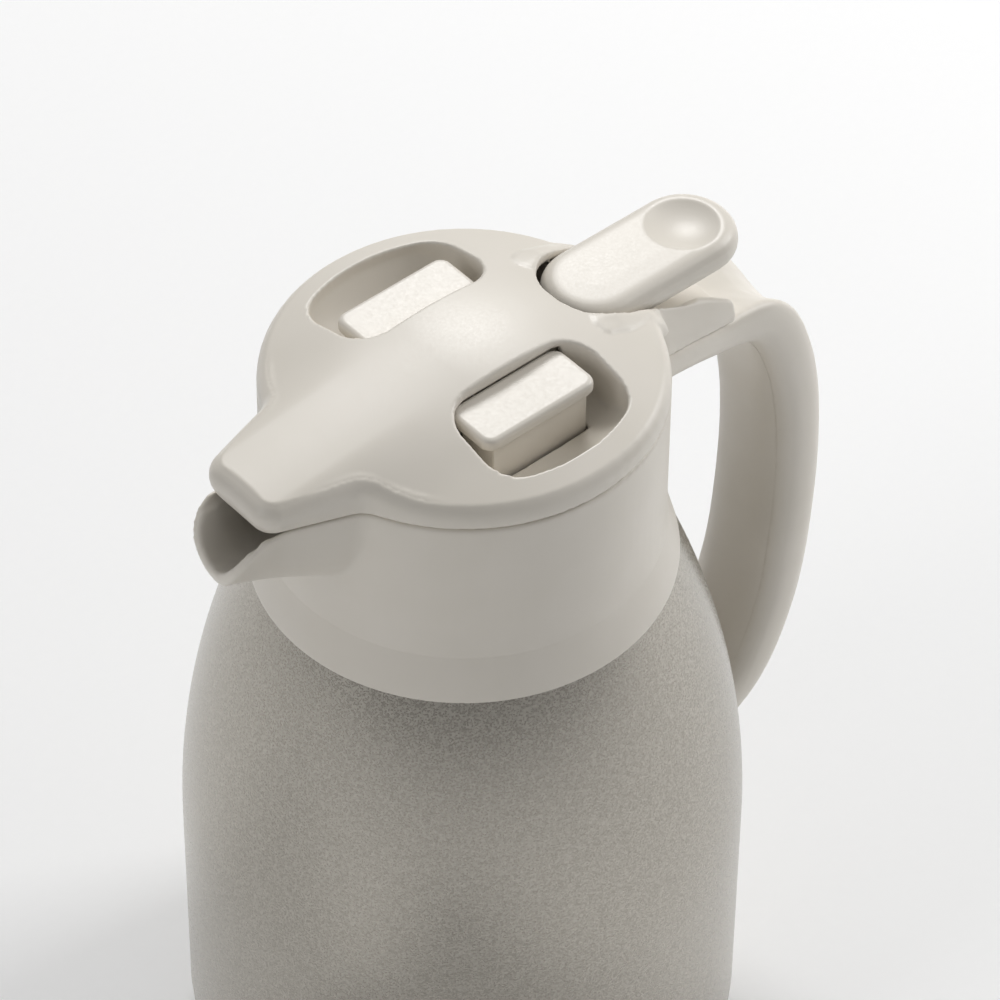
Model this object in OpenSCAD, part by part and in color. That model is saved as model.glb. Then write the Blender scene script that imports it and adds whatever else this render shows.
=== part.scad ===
// Thermal carafe: a double-walled steel bottle with a moulded collar that carries
// the spout and the handle, and a lift-out stopper lid with a pour lever and two
// squeeze buttons. Sizes are millimetres. The origin is the centre of the base,
// +Z is up, the spout points to -X and the handle to +X.

/* [Bottle] */
// Largest outside diameter of the bottle
body_d = 136; // [112:1:164]
// Height of the seam between collar and lid above the table
seam_z = 220; // [182:1:266]
// Height of the ring where the shoulder starts to curve in
belly_z = 80; // [60:1:96]
// Thickness of each steel wall
steel_t = 1; // [0.6:0.1:1.5]
// Vacuum gap between the two steel walls
vacuum_gap = 4; // [3:0.5:6]
// Outside diameter of the steel neck
neck_d = 82; // [78:0.5:84]
// Height of the neck's rim below the lid seam
neck_drop = 19; // [17:1:22]
// Radius of the rounded bottom edge
heel_r = 14; // [8:1:18]

/* [Collar] */
// Outside diameter of the collar under the lid
collar_d = 93.6; // [92:0.2:97]
// Height of the collar from its lower edge to the lid seam
collar_h = 52; // [48:1:58]
// Outside diameter of the collar's flared lower edge
skirt_d = 100.4; // [98:0.2:110]
// Height of the flare above the lower edge
flare_h = 11.5; // [8:0.5:16]
// Thickness of the collar's upper wall
collar_t = 2.8; // [2:0.1:3.2]

/* [Spout] */
// How far the lip reaches out from the bottle's axis
lip_x = 72.8; // [70:0.2:78]
// Depth of the lip's lowest outside point below the lid seam
lip_drop = 17.1; // [15:0.1:18]
// Half width of the spout where it passes under the beak's tip
lip_half_w = 10.4; // [10:0.1:12]
// Radius of the lip's curved edge in side view
lip_r = 13.3; // [12:0.1:18]
// Thickness of the spout's walls
spout_t = 2.3; // [1.6:0.1:3]

/* [Lid] */
// Height of the domed lid above the seam
dome_h = 15.4; // [13:0.1:17]
// Radius of the lid's dome
dome_r = 97.5; // [90:0.5:130]
// Height of the lid's edge above the seam
rim_h = 6.9; // [6:0.1:8]
// Radius of the rounding round the lid's edge
rim_r = 4.6; // [4:0.2:6]
// Thickness of the lid's moulded wall
lid_t = 1.8; // [1.4:0.1:2]
// How far the beak over the spout reaches from the axis
beak_x = 64.7; // [62:0.5:68]
// Height of the beak's tip above the seam
beak_h = 10.2; // [8:0.1:11]
// How far the tail under the lever reaches from the axis
tail_x = 71.3; // [66:0.5:74]
// Gap left along visible seams
seam_gap = 0.3; // [0.2:0.05:0.5]

/* [Buttons] */
// Length of a squeeze button along the lid
button_l = 32.4; // [28:0.2:34]
// Height of a button's flat top above the lid seam
button_top = 10.7; // [10:0.1:11]
// Travel of each button towards the middle
button_travel = 3.6; // [2:0.2:4]
// Depth of the finger pockets' floor below the lid seam
pocket_drop = 3; // [2:0.2:4]

/* [Lever] */
// Half width of the pour lever's paddle
lever_half_w = 12.4; // [11:0.1:12.6]
// How far the paddle reaches from the axis
lever_x = 79.2; // [74:0.2:82]
// Height of the paddle's top above the lid seam
lever_top = 9.8; // [8:0.2:10]
// Thickness of the paddle
lever_t = 7.4; // [5:0.2:8]
// Distance of the hinge pin from the axis
pivot_x = 34; // [32:0.5:36]
// Diameter of the hinge pin
pin_d = 3; // [2.5:0.1:3.6]

/* [Handle] */
// Width of the grip
grip_w = 27; // [22:0.5:32]
// Thickness of the grip
grip_t = 18; // [14:0.5:20]
// Distance between the bottle's widest ring and the middle of the grip
grip_reach = 30.2; // [28:0.2:40]
// Height of the handle's lower end above the table
foot_z = 63; // [50:1:72]
// Wall thickness of the handle's two shells
handle_t = 2.4; // [1.8:0.1:3]

/* [Hidden] */

$fn = 96;
eps = 0.01;

ivory = "#e4dfd6";
champagne = "#c9c2b6";
steel = "#c8c9cb";
silicone = "#d9d6cf";

// Bottle
body_r = body_d / 2;
neck_r = neck_d / 2;
neck_z = seam_z - neck_drop;
collar_r = collar_d / 2;
skirt_r = skirt_d / 2;
skirt_z = seam_z - collar_h;
shell_z = 6;
inner_inset = steel_t + vacuum_gap;
inner_z = shell_z + 12;
// The shoulder is one arc, upright at the belly, that meets the collar's edge
edge_r = skirt_r - 0.5;
shoulder_h = skirt_z - belly_z;
shoulder_r = (pow(body_r - edge_r, 2) + pow(shoulder_h, 2)) / (2 * (body_r - edge_r));
arc_x = body_r - shoulder_r;
// Radius of the shoulder arc at a height, drawn in by an inset
function shoulder_at(z, inset = 0) = arc_x + sqrt(pow(shoulder_r - inset, 2) - pow(z - belly_z, 2));
neck_base_z = belly_z + sqrt(pow(shoulder_r, 2) - pow(neck_r - arc_x, 2));
bore_r = neck_r - 3 * steel_t;
// Clamping flange of the collar and the gasket in its bore
flange_top = neck_base_z + 5;
gasket_z = neck_base_z + 0.6;
gasket_t = 1.2;
gasket_r = neck_r + 2.6;

// Lid dome, spigot and the space for them
lid_r = collar_r;
dome_k = 2 * dome_r;
spigot_r = collar_r - collar_t - seam_gap;
spigot_h = 4;
// Height of the dome over a point of the plan
function dome_at(x, y) = dome_h - (x * x + y * y) / dome_k;

// Beak plan: half width at the front line, flare of its sides and its roundings
beak_half_w = 8.7;
beak_flare = 22;
beak_corner_r = 4.5;
beak_edge_r = 4.6;
web_r = 7;
// How far the beak's sides swell out over the seam, and the width its top blends over
beak_bulge = 2.6;
blend_in = 9;
blend_out = 30;

// Tail: its half width at its top edges, at the collar and at its end
ridge_y = 12.9;
tail_root_y = 18;
tail_end_y = 14;
tail_drop = 7.9;
tail_slope = 0.27;
tail_floor_t = 2;
tail_bore_y = 11.2;
tail_fit = 0.3;

// Finger pockets
pocket_in = 13.3;
pocket_back = 18.6;
pocket_front = 21.2;
pocket_r = 39.5;
pocket_in_r = 8;
pocket_out_r = 9;
bowl_r = 14;
bowl_c_r = 27;
bowl_c_z = bowl_r - pocket_drop;

// Deck, stopper and flow path
deck_top = -10;
deck_t = 2.2;
deck_r = spigot_r - 1.4;
stopper_r = bore_r - 2;
stopper_t = 2;
stopper_bottom = -52;
foam_r = 15;
foam_top = -22;
port_r = 8.5;
window_w = 24;
window_bottom = -neck_drop + 0.6;
stem_r = 2;
plug_r = 11;
plug_z = stopper_bottom + stopper_t + 2.4;

// Latches
tongue_t = 2;
tongue_z = deck_top + 0.4;
tongue_w = 16;
ledge_in = spigot_r - 0.4;
ledge_z = tongue_z + tongue_t + seam_gap;
ledge_h = 1.8;
tongue_r = ledge_in - seam_gap;

// Buttons
button_back = 16;
button_in = 14.2;
cap_in = 12.2;
button_out = 27;
button_cap_t = 3;
button_inset = 1.2;
button_gap = 0.4;
spring_in = 6.6;
spring_coil_r = 2.6;

// Lever and stem
pivot_z = -3;
lever_gap = 0.7;
lever_front = 26.3;
lever_foot = lever_top - lever_t;
fork_top = 1.7;
fork_t = 2.2;
fork_half_w = 5;
fork_tip = 1;
flange_z = fork_top + seam_gap;
flange_t = 1.5;
ear_y = 8;
ear_t = 2.6;
lever_turn = 8;
boss_z = 12;
post_r = 38;
post_angles = [45, 135, 225, 315];

// Handle
grip_x = body_r + grip_reach;
// Bracket on the bottle, inside the handle's lower end
bracket_w = grip_w - 13;
bracket_h = grip_t - 11;
parting = -52;
arm_top = -8.2;
arm_t = 5.6;

// Small functions
function lerp(a, b, t) = a + (b - a) * t;
function catmull(a, b, c, d, t) =
    0.5 * (2 * b + (c - a) * t + (2 * a - 5 * b + 4 * c - d) * t * t
    + (3 * b - a - 3 * c + d) * t * t * t);
// Smooth run through a list of control rows, n steps to each span
function smooth_run(rows, n) = let (last = len(rows) - 1) concat(
    [for (i = [0:last - 1]) for (k = [0:n - 1])
        catmull(rows[max(i - 1, 0)], rows[i], rows[i + 1], rows[min(i + 2, last)], k / n)],
    [rows[last]]);
function power(x, e) = sign(x) * pow(abs(x), e);

// Joins a list of rings, each with the same number of points, into one closed solid
module loft(rings) {
    m = len(rings[0]);
    last = len(rings) - 1;
    points = [for (ring = rings) for (p = ring) p];
    sides = [for (i = [0:last - 1]) for (j = [0:m - 1])
        for (half = [0, 1])
            let (a = i * m + j, b = i * m + (j + 1) % m, c = b + m, d = a + m)
                half == 0 ? [a, d, c] : [a, c, b]];
    ends = [[for (j = [0:m - 1]) j], [for (j = [m - 1:-1:0]) last * m + j]];
    polyhedron(points, concat(sides, ends));
}

// Bottle

// Region of the bottle's half section drawn in by an inset, from a bottom height
module bottle_region(inset, bottom_z, throat_r, top_z) {
    corner = heel_r - (inset > steel_t ? inset / 2 : inset);
    wide = body_r - inset;
    translate([0, bottom_z])
        square([wide - corner, belly_z - bottom_z + eps]);
    translate([0, bottom_z + corner])
        square([wide, belly_z - bottom_z - corner + eps]);
    translate([wide - corner, bottom_z + corner])
        circle(corner);
    intersection() {
        translate([arc_x, belly_z])
            circle(shoulder_r - inset, $fn = 360);
        translate([0, belly_z])
            square([body_r, neck_base_z + 2 - belly_z]);
    }
    throat_z = belly_z + sqrt(pow(shoulder_r - inset, 2) - pow(throat_r - arc_x, 2)) - 2;
    translate([0, throat_z])
        square([throat_r, top_z - throat_z]);
}

module outer_shell() {
    color(champagne)
        rotate_extrude($fn = 180)
            difference() {
                bottle_region(0, shell_z, neck_r, neck_z);
                difference() {
                    bottle_region(steel_t, shell_z + steel_t, neck_r - steel_t, neck_z + 1);
                    translate([neck_r - steel_t, neck_base_z + 2])
                        square([body_r, body_r]);
                }
                translate([-eps, shell_z - 1])
                    square([body_r - heel_r - 5, 3]);
            }
}

module inner_bottle() {
    color(steel)
        rotate_extrude($fn = 180)
            difference() {
                union() {
                    bottle_region(inner_inset, inner_z, bore_r + steel_t, neck_z + steel_t);
                    // Rim turned out over the outer shell's neck
                    translate([0, neck_z])
                        square([neck_r, steel_t]);
                }
                bottle_region(inner_inset + steel_t, inner_z + steel_t, bore_r, neck_z + 3);
            }
}

module shell_base() {
    color(steel)
        translate([0, 0, shell_z + steel_t])
            difference() {
                union() {
                    cylinder(r = body_r - heel_r - 2, h = steel_t);
                    cylinder(r1 = 30, r2 = 22, h = 4);
                }
                translate([0, 0, -eps])
                    cylinder(r1 = 28.6, r2 = 20.6, h = 3);
                translate([0, 0, -1])
                    cylinder(r = 3, h = 8);
            }
}

module vacuum_seal() {
    color(steel)
        translate([0, 0, shell_z + steel_t + 1.8 - 2 * eps])
            cylinder(r = 6, h = 1.2);
}

module radiation_foil() {
    foil_t = 0.3;
    color("#b87a4b")
        rotate_extrude($fn = 180)
            translate([body_r - inner_inset + 0.05, inner_z + heel_r])
                square([foil_t, belly_z - inner_z - heel_r]);
}

module base_cover() {
    rim_w = body_r - heel_r + 6;
    floor_z = 0.8;
    color(ivory)
        difference() {
            translate([0, 0, floor_z])
                cylinder(r1 = rim_w - 2, r2 = rim_w, h = shell_z + 1.6 - floor_z);
            rotate_extrude($fn = 180)
                union() {
                    translate([body_r - heel_r, shell_z + heel_r])
                        circle(heel_r + 0.2);
                    translate([0, shell_z - 0.2])
                        square([body_r - heel_r, 12]);
                }
            // Hollow between the moulded floor and the steel base
            translate([0, 0, floor_z + 2.6])
                cylinder(r = body_r - heel_r - 6, h = 10);
            translate([0, 0, floor_z - 1])
                cylinder(r = 50.3, h = 2);
        }
}

module foot_pad() {
    color("#8d8a85")
        cylinder(r = 50, h = 1.8);
}

// Collar with spout and handle

// Half section of the collar's wall
module collar_section() {
    difference() {
        translate([0, skirt_z])
            polygon([[0, 0], [skirt_r, 0], [skirt_r, 0.8], [collar_r + 0.5, flare_h],
                [collar_r, flare_h + 8], [collar_r, collar_h], [0, collar_h]]);
        // Seat on the bottle's shoulder
        intersection() {
            translate([arc_x, belly_z])
                circle(shoulder_r + 0.2, $fn = 360);
            translate([0, skirt_z - 1])
                square([body_r, neck_base_z - skirt_z + 3]);
        }
        translate([0, skirt_z])
            square([neck_r + 0.4, collar_h + 1]);
        // Groove for the gasket in the flange's bore
        translate([0, gasket_z])
            square([gasket_r, gasket_t]);
        // Space over the clamping flange
        translate([0, flange_top])
            square([collar_r - collar_t, collar_h]);
    }
}

// Controls of the handle: middle x, middle z, half width, half thickness,
// squareness of the outer face and depth of the trough in it
function handle_rows() = [
    [lid_r - 8, seam_z + arm_top - 4.4, 19.5, arm_t, 7, 0],
    [lid_r, seam_z + arm_top - 5.4, 17.8, arm_t, 7, 0],
    [lid_r + 11, seam_z + arm_top - 8.4, 16, arm_t, 7, 0],
    [tail_x - 5, seam_z + arm_top - 11.2, 14.6, arm_t + 0.2, 6, 0],
    [tail_x + 3.4, seam_z + arm_top - 12.9, 13.9, arm_t + 1.2, 4.4, 4.2],
    [grip_x - 15.6, seam_z + arm_top - 15.6, 13.7, arm_t + 2, 3.8, 5],
    [grip_x - 9.6, seam_z + arm_top - 22.8, 13.6, grip_t / 2 - 0.7, 3.2, 4],
    [grip_x - 4.6, seam_z + arm_top - 35.2, grip_w / 2, grip_t / 2 - 0.4, 2.8, 1.6],
    [grip_x - 1.8, seam_z + arm_top - 47.2, grip_w / 2, grip_t / 2, 2.5, 0.3],
    [grip_x - 0.3, seam_z + arm_top - 60, grip_w / 2, grip_t / 2, 2.4, 0],
    [grip_x, lerp(foot_z, seam_z, 0.445), grip_w / 2, grip_t / 2, 2.4, 0],
    [grip_x - 1.8, lerp(foot_z, seam_z, 0.29), grip_w / 2, grip_t / 2, 2.4, 0],
    [grip_x - 5.2, lerp(foot_z, seam_z, 0.185), grip_w / 2, grip_t / 2, 2.4, 0],
    [grip_x - 11.2, lerp(foot_z, seam_z, 0.09), grip_w / 2 - 0.2, grip_t / 2 - 0.2, 2.5, 0],
    [grip_x - 19, foot_z + 5, grip_w / 2 - 0.6, grip_t / 2 - 0.5, 2.6, 0],
    [body_r - 3, foot_z - 2, grip_w / 2 - 1, grip_t / 2 - 0.8, 2.8, 0]
];

function handle_path() = smooth_run(handle_rows(), 2);

// Direction of the path at a step, as [x, z]
function path_way(path, i) =
    let (a = path[max(i - 1, 0)], b = path[min(i + 1, len(path) - 1)],
        d = [b[0] - a[0], b[1] - a[1]]) d / norm(d);

// One point of the handle's section at an angle, thinned by a wall
function handle_point(row, way, angle, wall) =
    let (e = 2 / (sin(angle) > 0 ? row[4] : 2.6),
        u = (row[2] - wall) * power(cos(angle), e),
        v0 = (row[3] - wall) * power(sin(angle), e),
        inside = max(0, 1 - pow(u / (row[2] - 2.4), 2)),
        v = v0 > 0 ? v0 - row[5] * inside * min(1, v0 / (row[3] * 0.5)) : v0)
    [row[0] - way[1] * v, u, row[1] + way[0] * v];

// Section of one shell: outer wall from angle a to b, then back along the inner wall
function shell_ring(row, way, a, b, steps, wall) = concat(
    [for (k = [0:steps]) handle_point(row, way, lerp(a, b, k / steps), 0)],
    [for (k = [0:steps]) handle_point(row, way, lerp(b, a, k / steps), wall)]);

module handle_shell() {
    path = handle_path();
    loft([for (i = [0:len(path) - 1])
        shell_ring(path[i], path_way(path, i), parting, 180 - parting, 22, handle_t)]);
}

module handle_liner() {
    path = handle_path();
    first = 5;
    cut = 0.6;
    color(ivory)
        difference() {
            loft([for (i = [first:len(path) - 1])
                shell_ring(path[i], path_way(path, i), 180 - parting + cut, 360 + parting - cut,
                    8, handle_t)]);
            cylinder(r = body_r + seam_gap, h = belly_z);
        }
}

module collar() {
    color(ivory)
        difference() {
            union() {
                rotate_extrude($fn = 180)
                    collar_section();
                difference() {
                    union() {
                        spout_body();
                        handle_shell();
                    }
                    cylinder(r = collar_r - collar_t + 0.4, h = seam_z + 20);
                    cylinder(r = body_r + seam_gap, h = belly_z);
                }
                catch_ledges();
            }
            spout_hollow();
            tail_seat();
        }
}

module catch_ledges() {
    for (side = [-90, 90])
        rotate([0, 0, side - 16])
            rotate_extrude(angle = 32, $fn = 180)
                translate([ledge_in, seam_z + ledge_z])
                    square([collar_r - collar_t - ledge_in + 0.6, ledge_h]);
}

// Room in the collar's wall and over the handle's arm for the lid's tail
module tail_seat() {
    root = lid_r + seam_gap;
    end = tail_x + tail_fit;
    low = tail_drop + tail_fit;
    translate([0, tail_root_y + tail_fit, seam_z])
        rotate([90, 0, 0])
            linear_extrude(2 * (tail_root_y + tail_fit))
                polygon([[collar_r / 2, -low], [root, -low],
                    [end, -low - (end - root) * tail_slope], [end, 20], [collar_r / 2, 20]]);
}

// Half width of the spout's top edge, which follows the beak's side and web
function spout_half_w(x) =
    x < web_side()[0] ? max(lip_half_w, beak_half_w + (x + beak_x) * tan(beak_flare))
    : x < web_touch()[0] ? web_mid()[1] - sqrt(max(0, web_r * web_r - pow(x - web_mid()[0], 2)))
    : web_touch()[1] - 0.1;

// Depth of the spout's underside, level under the lip and sloping down to the collar
function spout_depth(x) = lip_drop + max(0, x + lip_x - 1.2) * 0.44;

// Depth of the channel's floor, which drains back to the bottle
function channel_depth(x) =
    lerp(lip_drop - 4.6, -window_bottom, min(1, max(0, (x + lip_x) / (lip_x - collar_r))));

// One upright section of the spout: a rounded V under a straight top edge
function spout_ring(x, half_w, depth, round) =
    [for (k = [0:18]) let (a = 180 + 10 * k)
        [x, half_w * power(cos(a), 2 / round), seam_z + depth * power(sin(a), 2 / round)]];

// The same section with its sides carried up past the seam
function open_ring(x, half_w, depth, round) = concat(spout_ring(x, half_w, depth, round),
    [[x, half_w, seam_z + 2], [x, -half_w, seam_z + 2]]);

function spout_stations() = let (a = web_side()[0], b = web_touch()[0]) concat(
    [-lip_x - 3, -lip_x + 2, -beak_x, -beak_x + 3.5],
    [for (k = [1:4]) lerp(-beak_x + 3.5, a, k / 4)],
    [for (k = [1:5]) lerp(a, b, k / 5)],
    [b + 4]);

module spout_body() {
    intersection() {
        loft([for (x = spout_stations())
            spout_ring(x, spout_half_w(x), spout_depth(x),
                lerp(1.45, 2.1, max(0, (x + lip_x) / (lip_x - collar_r))))]);
        // Curved edge of the lip
        union() {
            translate([-lip_x + lip_r, 0, seam_z - 0.68 * lip_drop])
                rotate([90, 0, 0])
                    cylinder(r = lip_r, h = 80, center = true, $fn = 128);
            translate([-lip_x + lip_r, -40, seam_z - 60])
                cube([60, 80, 80]);
        }
    }
}

module spout_hollow() {
    outer = -lip_x - 5;
    inner = -collar_r + collar_t + 2;
    loft([for (x = [outer, -lip_x, -beak_x, -beak_x + 6, -collar_r - 3, inner])
        open_ring(x, min(spout_half_w(x) - spout_t, window_w / 2), channel_depth(x),
            lerp(1.5, 2.4, max(0, (x + lip_x) / (lip_x - collar_r))))]);
    // Rebate along the channel's top edges
    loft([for (x = [outer, -lip_x, -beak_x, -beak_x + 6, -collar_r - 1])
        open_ring(x, min(spout_half_w(x) - spout_t + 0.9, window_w / 2 + 1.6), 3, 9)]);
}

module collar_gasket() {
    color(silicone)
        translate([0, 0, gasket_z])
            difference() {
                cylinder(r = gasket_r, h = gasket_t);
                translate([0, 0, -1])
                    cylinder(r = neck_r + 0.02, h = 4);
            }
}

module neck_ring() {
    color(ivory)
        translate([0, 0, flange_top])
            difference() {
                cylinder(r = collar_r - collar_t - 0.4, h = neck_z - 1 - flange_top);
                translate([0, 0, -1])
                    cylinder(r = neck_r + 0.1, h = 20);
                for (k = [0:7])
                    rotate([0, 0, k * 45 + 22.5])
                        translate([collar_r - collar_t - 0.4, 0, 3])
                            cylinder(r = 1, h = 20, $fn = 16);
            }
}

module handle_bracket() {
    color(steel)
        difference() {
            intersection() {
                translate([body_r - 2, -bracket_w / 2, foot_z + 0.5 - bracket_h / 2])
                    cube([6, bracket_w, bracket_h]);
                difference() {
                    cylinder(r = body_r + 7, h = seam_z);
                    translate([0, 0, -1])
                        cylinder(r = body_r + 0.06, h = seam_z + 2, $fn = 720);
                }
            }
            translate([body_r + 1.5, -bracket_w / 2 + 1.5, foot_z - 8])
                cube([20, bracket_w - 3, 30]);
        }
}

module bracket_screw() {
    color(steel)
        translate([body_r + 1.5, 0, foot_z + 0.5])
            rotate([0, 90, 0])
                rotate_extrude()
                    polygon([[0, 0], [2.8, 0], [2.4, 1.2], [1.2, 1.8], [0, 1.8]]);
}

// Lid

// Corner circle of the beak's tip, kept tangent to the front and to the side
function corner_centre(d) =
    let (s = max(beak_corner_r, d + 0.3))
    [-beak_x + s, beak_half_w - s * tan((90 - beak_flare) / 2)];

// Fillet between the beak's side and the lid's round edge: its middle and its two ends
side_way = [cos(beak_flare), sin(beak_flare)];
side_out = [-sin(beak_flare), cos(beak_flare)];
function web_mid() =
    let (off = [-beak_x, beak_half_w] * side_out + web_r)
    side_out * off - side_way * sqrt(pow(lid_r + web_r, 2) - off * off);
function web_side() = web_mid() - side_out * web_r;
function web_touch() = web_mid() * lid_r / (lid_r + web_r);

// Half outline of the lid from the beak's tip to the back, as rows of
// x, y, outward normal x and y, rounding of the top edge and swell of the side
function lid_rows() =
    let (corner = corner_centre(0),
        from = corner + side_out * beak_corner_r,
        to = web_side(),
        mid = web_mid(),
        turn_a = atan2(-mid[1], -mid[0]),
        turn_b = beak_flare - 90,
        touch_a = atan2(mid[1], mid[0]))
    concat(
        [for (y = [0, 0.55]) [-beak_x, corner[1] * y, -1, 0, beak_edge_r, beak_bulge * 0.7]],
        [for (k = [0:5]) let (a = lerp(180, 90 + beak_flare, k / 5))
            [corner[0] + beak_corner_r * cos(a), corner[1] + beak_corner_r * sin(a),
                cos(a), sin(a), beak_edge_r, beak_bulge * (0.75 + k / 20)]],
        [for (k = [1:4]) let (t = k / 5, p = from + (to - from) * t)
            [p[0], p[1], side_out[0], side_out[1], lerp(beak_edge_r, rim_r, t),
                beak_bulge * (1 - 0.8 * t)]],
        [for (k = [0:5]) let (t = k / 6, a = lerp(turn_b, turn_a, t))
            [mid[0] + web_r * cos(a), mid[1] + web_r * sin(a), -cos(a), -sin(a), rim_r,
                beak_bulge * 0.2 * (1 - t)]],
        [for (k = [0:30]) let (a = lerp(touch_a, 0, k / 30))
            [lid_r * cos(a), lid_r * sin(a), cos(a), sin(a), rim_r, 0]]);

// Whole outline, anticlockwise seen from above
function lid_outline(skip) =
    let (half = [for (i = [0:skip:len(lid_rows()) - 1]) lid_rows()[i]], last = len(half) - 1)
    concat([for (i = [last:-1:0]) half[i]],
        [for (i = [1:last - 1]) [half[i][0], -half[i][1], half[i][2], -half[i][3],
            half[i][4], half[i][5]]]);

// Height along a straight line that leaves the dome's curve at a tangent and ends,
// far out, at a given height
function tangent_line(r, far, high) =
    let (leave = far - sqrt(far * far - dome_k * (dome_h - high)))
    r < leave ? dome_h - r * r / dome_k
        : dome_h - leave * leave / dome_k - 2 * leave / dome_k * (r - leave);

// Height of the lid's top over a point: the round dome, and along the beak a ridge
// that flows out of it and fades away to both sides
function top_at(x, y) =
    let (u = min(1, max(0, (blend_out - abs(y)) / (blend_out - blend_in))),
        share = x < 0 ? u * u * (3 - 2 * u) : 0,
        round = tangent_line(norm([x, y]), lid_r - rim_r, rim_h),
        ridge = tangent_line(-x, beak_x - beak_edge_r, beak_h) - y * y / dome_k)
    lerp(round, max(round, ridge), share);

// Foot of a row's rounding: its place in the plan and the height of the top over it
function edge_in(p) = [p[0] + p[2] * (p[5] - p[4]), p[1] + p[3] * (p[5] - p[4])];
function edge_top(p) = top_at(edge_in(p)[0], edge_in(p)[1]);

// Ring on the rounded edge at an angle of the rounding, thinned by an inset
function edge_ring(rows, inset, a) = [for (p = rows)
    let (r = p[4] - inset, d = p[5] - inset - r * (1 - cos(a)))
        [p[0] + p[2] * d, p[1] + p[3] * d, seam_z + edge_top(p) - p[4] + r * sin(a)]];

// Ring of the top at a share of the way out
function top_ring(rows, inset, share) = [for (p = rows)
    let (edge = edge_in(p) * share) [edge[0], edge[1], seam_z + top_at(edge[0], edge[1]) - inset]];

// Ring of the side at a share of the way up to the rounding
function side_ring(rows, inset, base, share) = [for (p = rows)
    let (d = p[5] * sin(90 * share) - inset)
        [p[0] + p[2] * d, p[1] + p[3] * d, seam_z + lerp(base, edge_top(p) - p[4], share)]];

// Solid under the lid's top surface, thinned by an inset
module lid_form(inset, base, skip, shares) {
    rows = lid_outline(skip);
    loft(concat(
        [for (share = [0, 0.35, 0.7]) side_ring(rows, inset, base, share)],
        [for (a = [0:18:90]) edge_ring(rows, inset, a)],
        [for (share = shares) top_ring(rows, inset, share)]));
}

// Sections of the tail: x, then half width and level of its foot and of its knee,
// and the level of its top edges
function tail_foot(x) = -tail_drop - max(0, x - lid_r) * tail_slope;
function tail_rows() = [
    [24, 20, 6, 19, 9.8, 11.2], [29, 21.5, 4, 20.5, 8.6, 10.9], [34, 21.5, 2.4, 20.5, 7.1, 10.2],
    [39, 20.8, seam_gap, 19.5, 6, 8.3], [43, 19, seam_gap, 17.6, 5, 6.6],
    [lid_r - 0.8, 18.2, seam_gap, 15.6, 3.4, 5.3]
];
function arm_rows() = [
    [lid_r - 2.4, tail_root_y, tail_foot(lid_r), 15.2, 3.4, 5.9],
    [lid_r, tail_root_y, tail_foot(lid_r), 14.6, 2.5, 5],
    [lid_r + 5.4, 17, tail_foot(lid_r + 5.4), 14.3, -0.6, 2.3],
    [lid_r + 10.6, 16.1, tail_foot(lid_r + 10.6), 14.1, -3, -0.3],
    [lid_r + 18.5, 14.9, tail_foot(lid_r + 18.5), 13.8, -7, -4.8],
    [tail_x - 0.8, tail_end_y, tail_foot(tail_x - 0.8), 13.4, -9.9, -8.5],
    [tail_x, tail_end_y - 0.7, tail_foot(tail_x), 12.8, -10.6, -9.4]
];

// One section of the tail: foot, knee and top edge on both sides
function tail_ring(row) =
    let (x = row[0], foot = [row[1], row[2]], knee = [row[3], row[4]], top = [ridge_y, row[5]],
        side = [foot, lerp(foot, knee, 0.5) + [0.5, 0], knee, lerp(knee, top, 0.6) + [0.1, 0.3],
            top - [0.5, 0]])
    concat([for (p = side) [x, p[0], seam_z + p[1]]],
        [for (k = [4:-1:0]) [x, -side[k][0], seam_z + side[k][1]]]);

module tail() {
    loft([for (row = tail_rows()) tail_ring(row)]);
    loft([for (row = arm_rows()) tail_ring(row)]);
    // Block that fills the notch in the collar's wall
    difference() {
        translate([collar_r / 2 + 10, -tail_root_y, seam_z - tail_drop])
            cube([lid_r - collar_r / 2 - 10, 2 * tail_root_y, tail_drop + 1]);
        translate([0, 0, seam_z - 20])
            cylinder(r = spigot_r - 0.4, h = 40, $fn = 180);
        translate([0, 0, seam_z - 20])
            difference() {
                cylinder(r = 80, h = 40);
                cylinder(r = lid_r, h = 40, $fn = 180);
            }
    }
}

// Rounded plan of a finger pocket on the +Y side, grown by an amount
module pocket_plan(grow) {
    in_r = pocket_in_r + grow;
    out_r = pocket_out_r + grow;
    rim = pocket_r + grow;
    back = -pocket_back + pocket_out_r;
    front = pocket_front - pocket_out_r;
    reach = pocket_r - pocket_out_r;
    out_back = [back, sqrt(reach * reach - back * back)];
    out_front = [front, sqrt(reach * reach - front * front)];
    in_back = [-pocket_back + pocket_in_r, pocket_in + pocket_in_r];
    in_front = [pocket_front - pocket_in_r, pocket_in + pocket_in_r];
    polygon([in_back - [0, in_r], in_front - [0, in_r], in_front + [in_r, 0],
        out_front + [out_r, 0], out_front, out_back, out_back - [out_r, 0], in_back - [in_r, 0]]);
    for (p = [in_back, in_front])
        translate(p)
            circle(in_r, $fn = 64);
    for (p = [out_back, out_front])
        translate(p)
            circle(out_r, $fn = 64);
    intersection() {
        circle(rim, $fn = 180);
        polygon([out_back / 2, out_front / 2, out_front * 1.6, out_back * 1.6]);
    }
}

module bowl(grow) {
    intersection() {
        translate([0, 0, seam_z - 20])
            linear_extrude(60)
                pocket_plan(grow);
        translate([0, 0, seam_z])
            rotate_extrude($fn = 180)
                union() {
                    translate([bowl_c_r, bowl_c_z])
                        circle(bowl_r + grow);
                    translate([0, -pocket_drop - grow])
                        square([bowl_c_r, 40]);
                }
    }
}

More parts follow.
